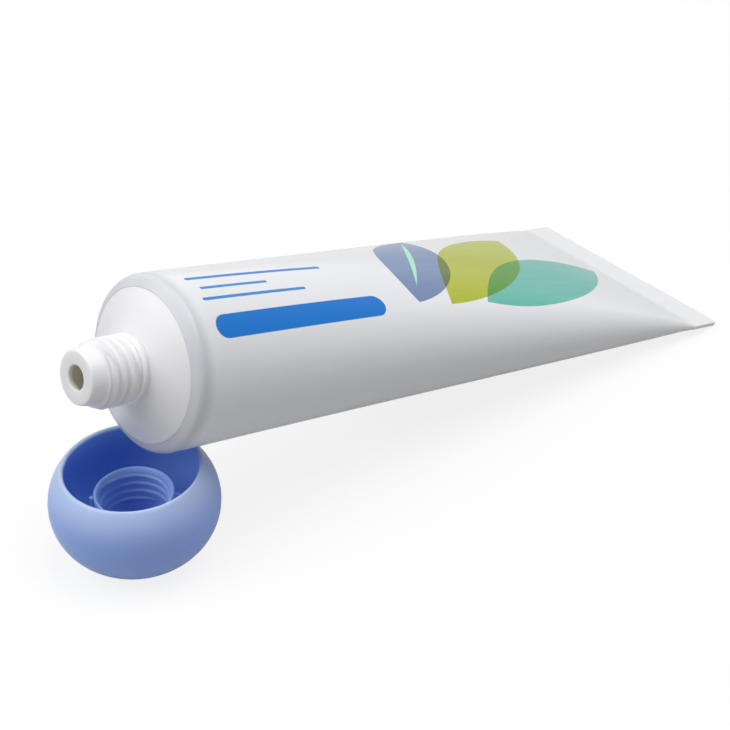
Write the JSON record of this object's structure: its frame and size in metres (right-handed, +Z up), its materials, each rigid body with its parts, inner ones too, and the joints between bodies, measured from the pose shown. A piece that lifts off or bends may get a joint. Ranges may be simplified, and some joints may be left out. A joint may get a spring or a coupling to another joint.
{
  "type": "toothpaste tube",
  "caption": "Laminate toothpaste tube with a round shouldered end and a flat heat-sealed tail, lying open on its unscrewed ball-shaped cap.",
  "frame": {"origin": "on the ground, in the middle of the whole footprint (cap and tube together)", "axes": "+X from the cap and nozzle towards the tail seal, +Y across the tail seal, +Z up"},
  "size_m": [0.1734, 0.0596, 0.0613],
  "materials": {
    "laminate_white": "glossy printed laminate",
    "head_white": "satin moulded polyethylene",
    "cap_blue": "satin moulded polypropylene",
    "paste": "soft moist paste"
  },
  "bodies": {
    "root": {"sleeve": "laminate_white", "head": "head_white", "cap": "cap_blue", "paste": "paste"}
  },
  "joints": []
}
